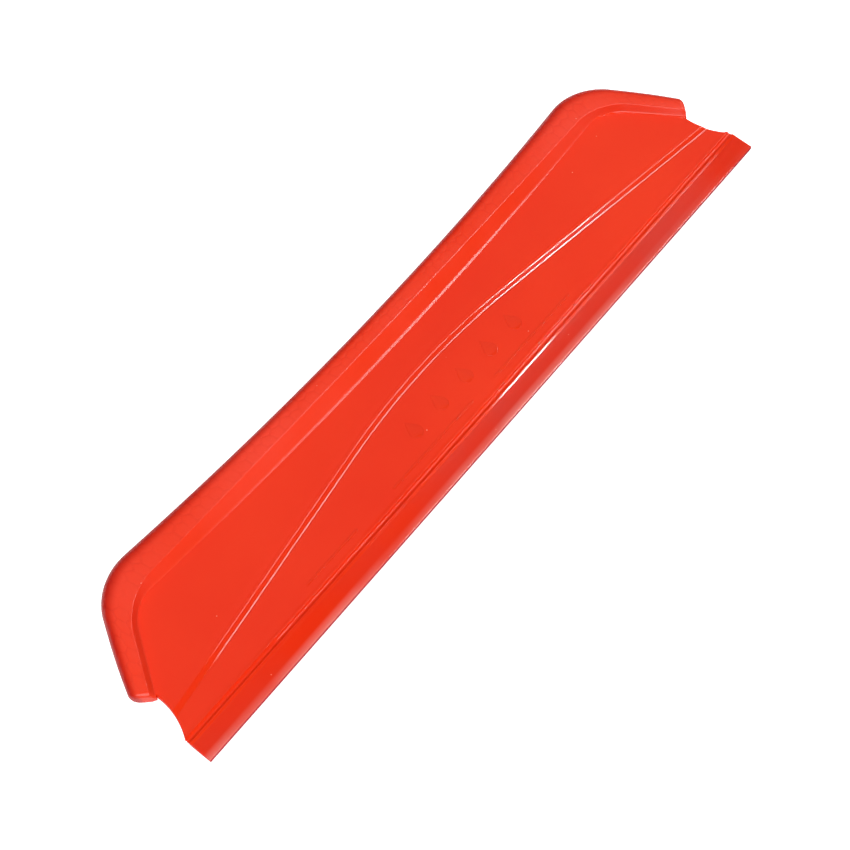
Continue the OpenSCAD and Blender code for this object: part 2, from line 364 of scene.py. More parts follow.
def bar(section, half):
    """A bar along the blade with that section, given as (height, depth) points."""
    bm = bmesh.new()
    face = bm.faces.new([bm.verts.new((-half, y, z)) for y, z in section])
    grown = bmesh.ops.extrude_face_region(bm, geom=[face])["geom"]
    moved = [g for g in grown if isinstance(g, bmesh.types.BMVert)]
    bmesh.ops.translate(bm, verts=moved, vec=(2 * half, 0, 0))
    return bm


def soften_ends(bm, half, width):
    """Rounds the edges of a bar's two ends."""

    def at_end(vert):
        return abs(abs(vert.co.x) - half) < MERGE

    rims = [e for e in bm.edges if all(map(at_end, e.verts)) and e.verts[0].co.x * e.verts[1].co.x > 0]
    bmesh.ops.bevel(
        bm, geom=rims, offset=width, offset_type="OFFSET", segments=3, profile=0.5, affect="EDGES",
        material=-1, clamp_overlap=True,
    )


def close_up(bm):
    """Merges what meets and turns every face outwards."""
    bmesh.ops.remove_doubles(bm, verts=bm.verts, dist=MERGE)
    bmesh.ops.dissolve_degenerate(bm, dist=MERGE / 10, edges=bm.edges)
    bmesh.ops.recalc_face_normals(bm, faces=bm.faces)


def make_piece(scene, name, bm, material, nodes):
    """Turns a bmesh in blade space into a named piece in its place in the frame."""
    bmesh.ops.translate(bm, verts=bm.verts, vec=bead_middle(scene))
    for face in bm.faces:
        face.smooth = True
    mesh = bpy.data.meshes.new(name)
    bm.to_mesh(mesh)
    bm.free()
    if not mesh.polygons:
        raise RuntimeError(f"{name} came out empty")
    mesh.set_sharp_from_angle(angle=CREASE)
    mesh.materials.append(material)
    piece = bpy.data.objects.new(name, mesh)
    scene.collection.objects.link(piece)
    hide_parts(*nodes)
    return piece


# ---------------------------------------------------------------- grip rim

DOME_RINGS = 12
# the inner slope, with a gentle facet at its foot: place across it and share of the rise
SLOPE_SECTION = (
    (-0.5, -0.3), (-0.05, -0.03), (0, 0), (0.03, 0.012), (0.085, 0.041), (0.14, 0.070),
    (0.24, 0.165), (0.55, 0.52), (0.84, 0.855), (0.93, 0.955),
)
SLOPE_STEPS = (2, 2, 2, 2, 3, 3, 3, 4, 4)
# the face from the crest (1) to the outer edge (2): place across it and share of the depth
FACE_SECTION = (
    (1, 1), (1.1, 0.998), (1.35, 0.98), (1.65, 0.9), (1.84, 0.7), (1.95, 0.4), (2, 0), (1.95, -0.4),
)
FACE_STEPS = (4, 9, 9, 6, 6, 6)
# where the scales start and stop across the face, and where the painted shade on the outer side starts
SCALES_FROM, SCALES_TO, SCALES_FADE = 0.97, 1.88, 0.1
SIDE_FROM, SIDE_FADE = 1.45, 0.5
FOOT_NARROWING = 0.12
DOME_NARROWING = 0.4
DOME_SQUARENESS = 0.4
CORE_SQUARENESS = 0.15


def rim_section(rim, web):
    """Section of the rim's front half: place across it (0 foot, 1 crest, 2 outer edge) and depth."""
    top, flat = rim.thickness / 2, web.upper / 2
    rise = top - flat
    guide = [(u, flat + share * rise) for u, share in SLOPE_SECTION]
    guide += [(u, top * share) for u, share in FACE_SECTION]
    places = [i + k / n for i, n in enumerate(SLOPE_STEPS + FACE_STEPS) for k in range(n)]
    return [spline_point(guide, p) for p in places] + [Vector((2, 0))]


PATTERN_SEED = 11
BEND_SCALE, BEND_REACH = 0.55, 0.34
WEAR_SCALE, WEAR_PLACE = 0.4, Vector((7, 3, 1))
WEAR_MIDDLE, WEAR_SWING, WORN_DEPTH = 0.55, 1.1, 0.35


def scale_lines(rim, along, across):
    """How deep the grip pattern's lines are, from 0 to 1: a honeycomb that is bent and worn a little."""
    spot = Vector((along, across, 0)) / rim.scale_pitch
    bend = noise.noise_vector(spot * BEND_SCALE) * BEND_REACH
    x, y = spot.x + bend.x, spot.y + bend.y
    row = math.sqrt(3)
    near = []
    for shift in (0, 0.5):
        dx = (x - shift) % 1 - 0.5
        dy = (y - shift * row) % row - row / 2
        near.append((dx * dx + dy * dy, abs(dx), abs(dy)))
    _, dx, dy = min(near)
    inside = (0.5 - max(dx, dx * 0.5 + dy * row / 2)) * rim.scale_pitch
    kept = smooth_step(WEAR_MIDDLE + WEAR_SWING * noise.noise(spot * WEAR_SCALE + WEAR_PLACE))
    return (1 - smooth_step(inside / rim.scale_line)) * (WORN_DEPTH + (1 - WORN_DEPTH) * kept)


def rim_rings(rim, crest):
    """Rings along the rim: place on the plan curves, side, turn of the dome, distance along."""
    places, travelled = [], 0.0
    for part, length in enumerate(crest.lengths()):
        steps = max(2, round(length / rim.ring_step))
        places += [(part + k / steps, travelled + length * k / steps) for k in range(steps)]
        travelled += length
    places.append((3, travelled))
    dome = [math.pi / 2 * k / DOME_RINGS for k in range(DOME_RINGS, 0, -1)]
    rings = [(0, 1, turn, -turn * rim.foot_dome) for turn in dome]
    rings += [(t, 1, 0, s) for t, s in places]
    rings += [(t, -1, 0, 2 * travelled - s) for t, s in reversed(places[:-1])]
    rings += [(0, -1, turn, 2 * travelled + turn * rim.foot_dome) for turn in reversed(dome)]
    return rings


class WATER_BLADE_OT_grip_rim(bpy.types.Operator):
    """Adds the thick grip rim with its honeycomb of low scales and its domed feet"""

    bl_idname = "water_blade.grip_rim"
    bl_label = "Grip rim"

    def execute(self, context):
        scene = context.scene
        rim = scene.water_blade_rim
        inner, crest, outer = rim_curves(scene)
        front = rim_section(rim, scene.water_blade_web)
        rings = rim_rings(rim, crest)
        section = [(p.x, p.y) for p in front] + [(p.x, -p.y) for p in reversed(front[:-1])]
        section.append(section[0])
        face_width = rim.outer_y - rim.crest_y
        across, walked = [], 0.0
        for (u0, z0), (u1, z1) in zip([section[0], *section], section):
            walked += math.hypot((u1 - u0) * face_width, z1 - z0)
            across.append(walked)
        total = rings[-1][3] - rim.foot_dome * math.pi / 2
        flat = scene.water_blade_web.upper / 2

        def shape(column, row):
            u, z = section[column]
            t, side, turn, along = rings[row]
            low, mid, high = inner.point(t), crest.point(t), outer.point(t)
            from_foot = max(min(along, total - along), 0)
            taper = max(1 - from_foot / rim.foot_taper, 0) ** 2
            closing = round(math.cos(turn), 9)
            share = (rim.foot_rise + (1 - rim.foot_rise) * min(t, 1)) * closing**DOME_SQUARENESS
            if abs(z) > flat:
                z = math.copysign(flat + (abs(z) - flat) * share, z)
            z *= closing**CORE_SQUARENESS
            if u > 1:
                narrow = (1 - FOOT_NARROWING * taper) * (1 - DOME_NARROWING * (1 - math.cos(turn)))
                spot = mid.lerp(high, (u - 1) * narrow)
            else:
                spot = mid.lerp(low, 1 - u)
            spot = spot + crest.down * rim.foot_dome * math.sin(turn)
            return side * spot.x, spot.y, z

        bm = shaped_grid(len(section) - 1, len(rings) - 1, shape)
        noise.seed_set(PATTERN_SEED)
        # depth of the pattern's lines, from 0 to 1: it moves the surface in, and the grip finish also
        # paints shade into the lines from it
        line = bm.verts.layers.float.new("scale_line")
        side_shade = bm.verts.layers.float.new("side_shade")
        for number, vert in enumerate(bm.verts):
            column, row = number % len(section), number // len(section)
            u = section[column][0]
            fade = smooth_step((u - SCALES_FROM) / SCALES_FADE)
            fade *= 1 - smooth_step((u - SCALES_TO) / SCALES_FADE)
            fade *= math.cos(rings[row][2])
            # painted shade: the colour darkens towards the rim's outer edge
            vert[side_shade] = smooth_step((u - SIDE_FROM) / SIDE_FADE)
            if fade > 0:
                vert[line] = fade * scale_lines(rim, rings[row][3], across[column])
        close_up(bm)
        bm.normal_update()
        for vert in bm.verts:
            vert.co -= vert.normal * vert[line] * rim.scale_depth
        piece = make_piece(scene, "grip_rim_skin", bm, grip_material(scene), ["grip_rim"])
        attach(piece, "handle")
        return {"FINISHED"}


# ---------------------------------------------------------------- web

EDGE_TURNS = 6
STEP_ROWS = 16
LOWER_ROWS, UPPER_ROWS = 12, 24
LOWER_ROUNDS, UPPER_ROUNDS = 3, 4
NECK_SIDE_ROUNDING = 1.3
UNDER_STEP = 2.2 * MM
UNDER_RIM = 0.9 * MM
STEP_TUCK = 0.03 * MM


def edge_distances(width):
    """Distances from a free edge, and how far its rounding has risen at each."""
    turns = [math.pi / 2 * k / EDGE_TURNS for k in range(EDGE_TURNS + 1)]
    return [(width * (1 - math.cos(a)), math.sin(a)) for a in turns]


def web_columns(web, count):
    """The web's columns: place along it (-1 to 1), distance from its end and rise of the rounding."""
    edges = edge_distances(web.edge_round)
    columns = [(-1, d, rise) for d, rise in edges]
    columns += [(-1 + 2 * k / count, 0, 1) for k in range(1, count)]
    columns += [(1, d, rise) for d, rise in reversed(edges)]
    return columns


def column_x(web, half, column, y):
    """Place along the blade of a column at a height."""
    place, inset, _ = column
    reach = web_half(web, half, y)
    if abs(place) == 1:
        return place * (reach - inset)
    return place * (reach - web.edge_round)


def mirror_back(bm):
    """Adds the rear half of a plate and joins it to the front half."""
    bmesh.ops.mirror(
        bm, geom=bm.verts[:] + bm.edges[:] + bm.faces[:], matrix=Matrix.Identity(4),
        merge_dist=MERGE, axis="Z",
    )


class WATER_BLADE_OT_web(bpy.types.Operator):
    """Adds the two panels of the web, which meet in a soft arched step"""

    bl_idname = "water_blade.web"
    bl_label = "Web"

    columns: IntProperty(name="Columns", description="Columns of the web's mesh", default=240, min=8)

    def execute(self, context):
        scene = context.scene
        web, half = scene.water_blade_web, scene.water_blade_blade.length / 2
        material = gloss_material(scene)
        foot = rim_curves(scene)[0]
        columns = web_columns(web, self.columns)

        # lower panel: rounded at the neck, running on under the step
        edges = edge_distances(web.edge_round * NECK_SIDE_ROUNDING)
        low_rows = [("edge", d, rise) for d, rise in edges]
        low_rows += [("panel", k / LOWER_ROWS, 1) for k in range(1, LOWER_ROWS + 1)] + [("end", 1, 0)]

        def lower_shape(column, row):
            kind, place, rise = low_rows[row]
            col = columns[column]
            y = web.edge_y + edges[-1][0]
            for _ in range(LOWER_ROUNDS):
                if kind == "edge":
                    y = web.edge_y + place
                else:
                    top = arch_height(web, column_x(web, half, col, y)) + UNDER_STEP
                    y = web.edge_y + edges[-1][0] + (top - web.edge_y - edges[-1][0]) * place
            return column_x(web, half, col, y), y, web.lower / 2 * rise * col[2]

        bm = shaped_grid(len(columns) - 1, len(low_rows) - 1, lower_shape)
        mirror_back(bm)
        close_up(bm)
        piece = make_piece(scene, "lower_web_skin", bm, material, ["lower_web"])
        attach(piece, "handle")

        # upper panel: it ends in the step at its lower edge and runs into the rim at its upper edge
        rise_by = (web.upper - web.lower) / 2
        high_rows = [("hide", -0.5, 0)]
        high_rows += [("step", k / STEP_ROWS - 0.5, 1) for k in range(STEP_ROWS + 1)]
        high_rows += [("panel", k / UPPER_ROWS, 1) for k in range(1, UPPER_ROWS + 1)] + [("end", 1, 0)]

        def upper_shape(column, row):
            kind, place, rise = high_rows[row]
            col = columns[column]
            y = web.arch_y
            for _ in range(UPPER_ROUNDS):
                x = column_x(web, half, col, y)
                base = arch_height(web, x)
                if kind in ("panel", "end"):
                    start = base + web.step_width / 2
                    top = foot.height(min(abs(x), foot.foot.x)) + UNDER_RIM
                    y = start + (top - start) * place
                else:
                    y = base + place * web.step_width
            x = column_x(web, half, col, y)
            depth = web.upper / 2
            if kind == "step":
                depth -= rise_by * (1 - soft_ramp(place + 0.5, web.step_soft))
                depth -= STEP_TUCK * (place == -0.5)
            return x, y, depth * rise * col[2]

        bm = shaped_grid(len(columns) - 1, len(high_rows) - 1, upper_shape)
        mirror_back(bm)
        close_up(bm)
        piece = make_piece(scene, "upper_web_skin", bm, material, ["upper_web"])
        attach(piece, "handle")
        return {"FINISHED"}


# ---------------------------------------------------------------- neck, bead and lips

NECK_STEPS = 18
NECK_IN_WEB, NECK_IN_BEAD = 1.0 * MM, 0.5 * MM
NECK_END_GAP = 0.05 * MM
NECK_TUCK = 0.25 * MM
FLARE_LIMIT = 1.2
BEAD_STEPS = 4
# the bead's front: distance below its top and behind its crest, with a flat flank towards the lip
BEAD_SHOULDER = (
    (-0.02, 0.75), (-0.18, 0.32), (-0.48, 0.07), (-0.8, 0.0), (-1.05, 0.05), (-1.3, 0.10), (-1.55, 0.15),
    (-1.72, 0.27),
)
LIP_STEPS, TIP_STEPS = 26, 6
LIP_IN_BEAD = 0.1 * MM
THINNING_FROM, THINNING_POWER = 0.1, 0.75


class WATER_BLADE_OT_neck(bpy.types.Operator):
    """Adds the thin neck between the web and the bead"""

    bl_idname = "water_blade.neck"
    bl_label = "Neck"

    def execute(self, context):
        scene = context.scene
        blade, web = scene.water_blade_blade, scene.water_blade_web
        top, low = web.edge_y + NECK_IN_WEB, blade.bead_high - NECK_IN_BEAD
        waist = (web.edge_y + blade.bead_high) / 2
        reach = (web.edge_y - blade.bead_high) / 2
        heights = [low + (top - low) * k / NECK_STEPS for k in range(NECK_STEPS + 1)]

        def depth(y):
            return blade.neck_half + blade.neck_flare * min(abs(y - waist) / reach, FLARE_LIMIT) ** 3

        half = blade.length / 2 - NECK_END_GAP
        section = [(y, depth(y)) for y in heights] + [(y, -depth(y)) for y in reversed(heights)]
        bm = bar(section, half)
        for vert in bm.verts:
            if vert.co.y > waist:
                tuck = NECK_TUCK * smooth_step((vert.co.y - waist) / reach)
                inside = web_half(web, blade.length / 2, vert.co.y) - tuck
                vert.co.x = math.copysign(min(half, inside), vert.co.x)
        close_up(bm)
        piece = make_piece(scene, "neck_skin", bm, gloss_material(scene), ["neck"])
        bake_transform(piece)
        return {"FINISHED"}


class WATER_BLADE_OT_root_bead(bpy.types.Operator):
    """Adds the round bead that carries the two lips"""

    bl_idname = "water_blade.root_bead"
    bl_label = "Root bead"

    def execute(self, context):
        scene = context.scene
        blade = scene.water_blade_blade
        high, low, deep = blade.bead_high, blade.bead_low, blade.bead_half
        guide = [(high, -0.3 * deep), (high, 0)]
        guide += [(high + down * MM, deep - back * MM) for down, back in BEAD_SHOULDER]
        guide += [(low, 0.6 * deep), (low, 0), (low, -0.3 * deep)]
        places = [k / BEAD_STEPS for k in range(BEAD_STEPS * (len(guide) - 3) + 1)]
        front = [spline_point(guide, p) for p in places]
        section = [(p.x, p.y) for p in front] + [(p.x, -p.y) for p in front[-2:0:-1]]
        half = blade.length / 2
        bm = bar(section, half)
        close_up(bm)
        soften_ends(bm, half, blade.bead_end_round)
        piece = make_piece(
            scene, "root_bead_skin", bm, gloss_material(scene), ["blade_root"]
        )
        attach(piece, "blade_head")
        return {"FINISHED"}


class WATER_BLADE_OT_lips(bpy.types.Operator):
    """Adds the two slim wiping lips"""

    bl_idname = "water_blade.lips"
    bl_label = "Lips"

    def execute(self, context):
        scene = context.scene
        blade = scene.water_blade_blade
        half = blade.length / 2
        start, tip_round = LIP_IN_BEAD, blade.lip_edge / 2
        for name, side in (("front_lip", 1), ("rear_lip", -1)):
            outside, inside = [], []
            run = blade.lip_height - tip_round + start
            for k in range(LIP_STEPS + 1):
                share = k / LIP_STEPS
                y = start - run * share
                fall = min(max((share - THINNING_FROM) / (1 - THINNING_FROM), 0), 1)
                z = blade.lip_root_z + (blade.lip_edge_z - blade.lip_root_z) * fall
                thick = blade.lip_root / 2 + (tip_round - blade.lip_root / 2) * fall**THINNING_POWER
                outside.append((y, side * (z + thick)))
                inside.append((y, side * (z - thick)))
            tip = []
            for k in range(1, TIP_STEPS):
                a = math.pi * k / TIP_STEPS
                tip.append((
                    tip_round - blade.lip_height - tip_round * math.sin(a),
                    side * (blade.lip_edge_z + tip_round * math.cos(a)),
                ))
            bm = bar(outside + tip + inside[::-1], half)
            close_up(bm)
            soften_ends(bm, half, blade.end_round)
            reach = bm.verts.layers.float.new("reach")
            for vert in bm.verts:
                vert[reach] = min(max(-vert.co.y / blade.lip_height, 0), 1)
            piece = make_piece(scene, f"{name}_skin", bm, lip_material(scene), [name])
            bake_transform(piece)
        return {"FINISHED"}


MARK_ROOT = 0.1 * MM
DROP_SIDES, LINE_SIDES, SOFT_STEPS = 48, 24, 4
DROP_POINT = math.radians(60)
# the line marks: where each one's middle is along the blade, and its length
LINE_MARKS = ((-76 * MM, 26 * MM), (-22 * MM, 44 * MM), (34 * MM, 44 * MM))


class WATER_BLADE_OT_marks(bpy.types.Operator):
    """Adds the row of drops and the line marks, in low relief on the lower panel"""

    bl_idname = "water_blade.marks"
    bl_label = "Moulded marks"

    def execute(self, context):
        scene = context.scene
        marks, web = scene.water_blade_marks, scene.water_blade_web
        base = web.lower / 2 - MARK_ROOT
        bm = bmesh.new()

        def raise_mark(verts):
            """Fills an outline, raises it and softens its edge."""
            face = bmesh.ops.contextual_create(bm, geom=verts)["faces"][0]
            grown = bmesh.ops.extrude_face_region(bm, geom=[face])["geom"]
            top = [g for g in grown if isinstance(g, bmesh.types.BMVert)]
            bmesh.ops.translate(bm, verts=top, vec=(0, 0, marks.relief + MARK_ROOT))
            rims = [g for g in grown if isinstance(g, bmesh.types.BMEdge)]
            bmesh.ops.bevel(
                bm, geom=rims, offset=marks.soft, offset_type="OFFSET", segments=SOFT_STEPS,
                profile=0.5, affect="EDGES", material=-1, clamp_overlap=True,
            )

        for k in range(marks.drops):
            x = marks.middle_x + (k - (marks.drops - 1) / 2) * marks.drop_pitch
            ring = bmesh.ops.create_circle(
                bm, segments=DROP_SIDES, radius=marks.drop_radius,
                matrix=Matrix.Translation((x, marks.drop_y, base)),
            )["verts"]
            for vert in ring:
                out = vert.co - Vector((x, marks.drop_y, base))
                turn = DROP_POINT - abs(math.atan2(out.y, out.x) - math.pi / 2)
                vert.co += out * (1 / math.cos(max(turn, 0)) - 1)
            raise_mark(ring)
        half_side = Matrix.Rotation(math.pi / LINE_SIDES, 4, "Z")
        for x, length in LINE_MARKS:
            ring = bmesh.ops.create_circle(
                bm, segments=LINE_SIDES, radius=marks.line_width / 2,
                matrix=Matrix.Translation((x, marks.line_y, base)) @ half_side,
            )["verts"]
            for vert in ring:
                vert.co.x += math.copysign((length - marks.line_width) / 2, vert.co.x - x)
            raise_mark(ring)
        close_up(bm)
        piece = make_piece(
            scene, "raised_marks", bm, gloss_material(scene), ["moulded_marks"]
        )
        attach(piece, "handle")
        return {"FINISHED"}


# ---------------------------------------------------------------- finishes

SILICONE_IOR = 1.41
SOAK = 0.12
LIP_SOAK = 0.25
SOAK_COLOUR = (1.0, 0.18, 0.08)
SOAK_DEPTH = 1.6 * MM
RELIEF_DEPTH = 0.1 * MM


def add_node(tree, kind, inputs=None, **settings):
    """Adds a node, sets it up, and links or fills its inputs."""
    made = tree.nodes.new(kind)
    for key, value in settings.items():
        setattr(made, key, value)
    for key, value in (inputs or {}).items():
        if isinstance(value, bpy.types.NodeSocket):
            tree.links.new(value, made.inputs[key])
        else:
            made.inputs[key].default_value = value
    return made


def ramp(tree, value, stops):
    """A colour ramp over the value, with (place, grey or colour) stops."""
    made = add_node(tree, "ShaderNodeValToRGB", {"Fac": value})
    elements = made.color_ramp.elements
    while len(elements) < len(stops):
        elements.new(1)
    for element, (place, colour) in zip(elements, stops):
        element.position = place
        element.color = (colour,) * 3 + (1,) if isinstance(colour, (int, float)) else (*colour, 1)
    return made.outputs["Color"]


def blend_colour(tree, amount, first, second, mode="MIX"):
    """Mixes two colours."""
    made = add_node(tree, "ShaderNodeMix", data_type="RGBA", blend_type=mode)
    for index, value in ((0, amount), (6, first), (7, second)):
        if isinstance(value, bpy.types.NodeSocket):
            tree.links.new(value, made.inputs[index])
        else:
            made.inputs[index].default_value = value if index == 0 else (*value[:3], 1)
    return made.outputs[2]


def calc(tree, operation, *values, clamp=False):
    """A sum on numbers or sockets."""
    made = add_node(tree, "ShaderNodeMath", operation=operation, use_clamp=clamp)
    for index, value in enumerate(values):
        if isinstance(value, bpy.types.NodeSocket):
            tree.links.new(value, made.inputs[index])
        else:
            made.inputs[index].default_value = value
    return made.outputs["Value"]


def moulded_silicone_group():
    """Cloudy colour, moulding ripple and tiny specks, shared by every silicone finish."""
    name = "moulded_silicone"
    if name in bpy.data.node_groups:
        return bpy.data.node_groups[name]
    tree = bpy.data.node_groups.new(name, "ShaderNodeTree")
    sockets = tree.interface
    sockets.new_socket("Colour", in_out="INPUT", socket_type="NodeSocketColor")
    sockets.new_socket("Deep Colour", in_out="INPUT", socket_type="NodeSocketColor")
    sockets.new_socket("Speck Colour", in_out="INPUT", socket_type="NodeSocketColor")
    for label, default in (("Specks", 1.0), ("Roughness", 0.25), ("Ripple", 1.0), ("Grain", 0.0)):
        socket = sockets.new_socket(label, in_out="INPUT", socket_type="NodeSocketFloat")
        socket.default_value = default
    sockets.new_socket("Colour", in_out="OUTPUT", socket_type="NodeSocketColor")
    sockets.new_socket("Roughness", in_out="OUTPUT", socket_type="NodeSocketFloat")
    sockets.new_socket("Height", in_out="OUTPUT", socket_type="NodeSocketFloat")
    given = add_node(tree, "NodeGroupInput").outputs
    result = add_node(tree, "NodeGroupOutput").inputs
    place = add_node(tree, "ShaderNodeTexCoord").outputs["Object"]

    def cloudy(scale, detail):
        return add_node(
            tree, "ShaderNodeTexNoise", {"Vector": place, "Scale": scale, "Detail": detail}
        ).outputs["Fac"]

    clouds = cloudy(14, 3)
    cloud_mask = ramp(tree, clouds, [(0.35, 0.0), (0.68, 1.0)])
    colour = blend_colour(tree, cloud_mask, given["Deep Colour"], given["Colour"])

    dots = add_node(
        tree, "ShaderNodeTexVoronoi", {"Vector": place, "Scale": 260, "Randomness": 1.0}
    ).outputs
    near = ramp(tree, dots["Distance"], [(0.035, 1.0), (0.075, 0.0)])
    chosen = add_node(tree, "ShaderNodeSeparateColor", {"Color": dots["Color"]}).outputs["Red"]
    rare = ramp(tree, chosen, [(0.90, 0.0), (0.92, 1.0)])
    speck = calc(tree, "MULTIPLY", calc(tree, "MULTIPLY", near, rare), given["Specks"])
    colour = blend_colour(tree, speck, colour, given["Speck Colour"])

    ripple, grain = cloudy(60, 2), cloudy(1500, 2)
    height = calc(tree, "MULTIPLY", ripple, given["Ripple"])
    height = calc(tree, "MULTIPLY_ADD", grain, given["Grain"], height)
    height = calc(tree, "MULTIPLY_ADD", speck, 0.25, height)
    rough = calc(tree, "MULTIPLY_ADD", clouds, 0.05, given["Roughness"])
    rough = calc(tree, "MULTIPLY_ADD", grain, 0.03, rough, clamp=True)

    tree.links.new(colour, result["Colour"])
    tree.links.new(rough, result["Roughness"])
    tree.links.new(height, result["Height"])
    return tree


def silicone(scene, name, colour, deep, roughness, ripple, grain, specks, bump):
    """A silicone material; returns it with its tree, its group's outputs and its shader."""
    made = bpy.data.materials.new(name)
    made.use_nodes = True
    tree = made.node_tree
    shader = tree.nodes["Principled BSDF"]
    values = {
        "Colour": (*colour, 1), "Deep Colour": (*deep, 1),
        "Speck Colour": (*scene.water_blade_colours.speck, 1),
        "Specks": specks, "Roughness": roughness, "Ripple": ripple, "Grain": grain,
    }
    group = add_node(tree, "ShaderNodeGroup", values, node_tree=moulded_silicone_group())
    relief = add_node(
        tree, "ShaderNodeBump",
        {"Strength": bump, "Distance": RELIEF_DEPTH, "Height": group.outputs["Height"]},
    )
    tree.links.new(group.outputs["Colour"], shader.inputs["Base Color"])
    tree.links.new(group.outputs["Roughness"], shader.inputs["Roughness"])
    tree.links.new(relief.outputs["Normal"], shader.inputs["Normal"])
    shader.inputs["IOR"].default_value = SILICONE_IOR
    shader.inputs["Subsurface Weight"].default_value = SOAK
    shader.inputs["Subsurface Radius"].default_value = SOAK_COLOUR
    shader.inputs["Subsurface Scale"].default_value = SOAK_DEPTH
    return made, tree, group.outputs, shader


def gloss_material(scene):
    """Glossy silicone of the web, the neck, the bead and the marks."""
    name = "glossy_web_silicone"
    if name in bpy.data.materials:
        return bpy.data.materials[name]
    looks = scene.water_blade_colours
    made, _, _, shader = silicone(
        scene, name, looks.web, looks.web_deep,
        roughness=0.02, ripple=0.25, grain=0.02, specks=1.0, bump=0.3,
    )
    shader.inputs["Coat Weight"].default_value = 0.15
    shader.inputs["Coat Roughness"].default_value = 0.03
    return made


def grip_material(scene):
    """Satin silicone of the grip rim, with painted shade in the lines of its pattern and on its outer side.
    """
    name = "satin_grip_silicone"
    if name in bpy.data.materials:
        return bpy.data.materials[name]
    looks = scene.water_blade_colours
    made, tree, out, shader = silicone(
        scene, name, looks.grip, looks.web,
        roughness=0.22, ripple=0.6, grain=0.6, specks=1.0, bump=0.5,
    )
    lines = add_node(tree, "ShaderNodeAttribute", attribute_name="scale_line").outputs["Fac"]
    sides = add_node(tree, "ShaderNodeAttribute", attribute_name="side_shade").outputs["Fac"]
    # painted shade: darker in the pattern's lines and towards the rim's outer side
    amount = calc(tree, "MULTIPLY_ADD", lines, 0.14, sides, clamp=True)
    colour = blend_colour(tree, amount, out["Colour"], looks.grip_painted_shade)
    tree.links.new(colour, shader.inputs["Base Color"])
    return made


def lip_material(scene):
    """Thin silicone of the lips: light shining through towards the wiping edge is painted into its colour,
    with painted shade along the very edge.
    """
    name = "thin_lip_silicone"
    if name in bpy.data.materials:
        return bpy.data.materials[name]
    looks = scene.water_blade_colours
    made, tree, out, shader = silicone(
        scene, name, looks.lip, looks.web_deep,
        roughness=0.05, ripple=0.3, grain=0.1, specks=0.6, bump=0.3,
    )
    reach = add_node(tree, "ShaderNodeAttribute", attribute_name="reach").outputs["Fac"]
    place = add_node(tree, "ShaderNodeTexCoord").outputs["Object"]
    patches = add_node(
        tree, "ShaderNodeTexNoise", {"Vector": place, "Scale": 22, "Detail": 3}
    ).outputs["Fac"]
    # painted light: a pale glow towards the wiping edge, in patches
    glow = ramp(tree, reach, [(0.62, 0.0), (0.90, 0.7), (0.97, 1.0)])
    glow = calc(tree, "MULTIPLY", glow, ramp(tree, patches, [(0.30, 0.2), (0.62, 1.0)]))
    # the painted glow is full up to 20 mm along X and weakens to 0.12 at 130 mm
    along = add_node(tree, "ShaderNodeSeparateXYZ", {"Vector": place}).outputs["X"]
    thin = add_node(
        tree, "ShaderNodeMapRange",
        {"Value": along, "From Min": 130 * MM, "From Max": 20 * MM, "To Min": 0.12, "To Max": 1.0},
    ).outputs["Result"]
    glow = calc(tree, "MULTIPLY", glow, thin)
    colour = blend_colour(tree, glow, out["Colour"], looks.lip_glow)
    # painted shade: a dark line along the very edge of the lip
    edge = ramp(tree, reach, [(0.972, 0.0), (0.985, 1.0)])
    colour = blend_colour(tree, edge, colour, looks.lip_edge)
    tree.links.new(colour, shader.inputs["Base Color"])
    shader.inputs["Subsurface Weight"].default_value = LIP_SOAK
    return made


# ---------------------------------------------------------------- studio

FLOOR_GLOW = 0.8
FLOOR_HALF = 4
SENSOR_WIDTH = 36
# each light: the way to it from the object, its distance, its width and its height
LIGHTS = {
    "key": ((-0.62, -0.42, 0.66), 1.5, 1.0, 1.0),
    "top": ((0.24, 0.42, 0.87), 1.5, 2.2, 0.8),
    "streak": ((0.605, -0.135, 1.175), 1.329, 0.16, 0.07),
    "strip": ((0.66, 0.0, 1.175), 1.348, 1.1, 0.12),
}


def direction_to(azimuth, elevation):
    """Direction from the object to a place round it; azimuth 0 is in front, below the blade."""
    return Vector((
        math.sin(azimuth) * math.cos(elevation), -math.cos(azimuth) * math.cos(elevation),
        math.sin(elevation),
    ))


def soft_light(scene, name, towards, distance, width, height, brightness):
    """A soft rectangular light that looks at the object with its width along the blade; brightness is
    what its face shows."""
    light = bpy.data.lights.new(name, "AREA")
    light.shape = "RECTANGLE"
    light.size, light.size_y = width, height
    light.energy = brightness * math.pi * width * height
    lamp = bpy.data.objects.new(name, light)
    depth = Vector(towards).normalized()
    side = (Vector((1, 0, 0)) - depth * depth.x).normalized()
    lamp.location = depth * distance
    lamp.rotation_mode = "QUATERNION"
    lamp.rotation_quaternion = Matrix((side, depth.cross(side), depth)).transposed().to_quaternion()
    scene.collection.objects.link(lamp)


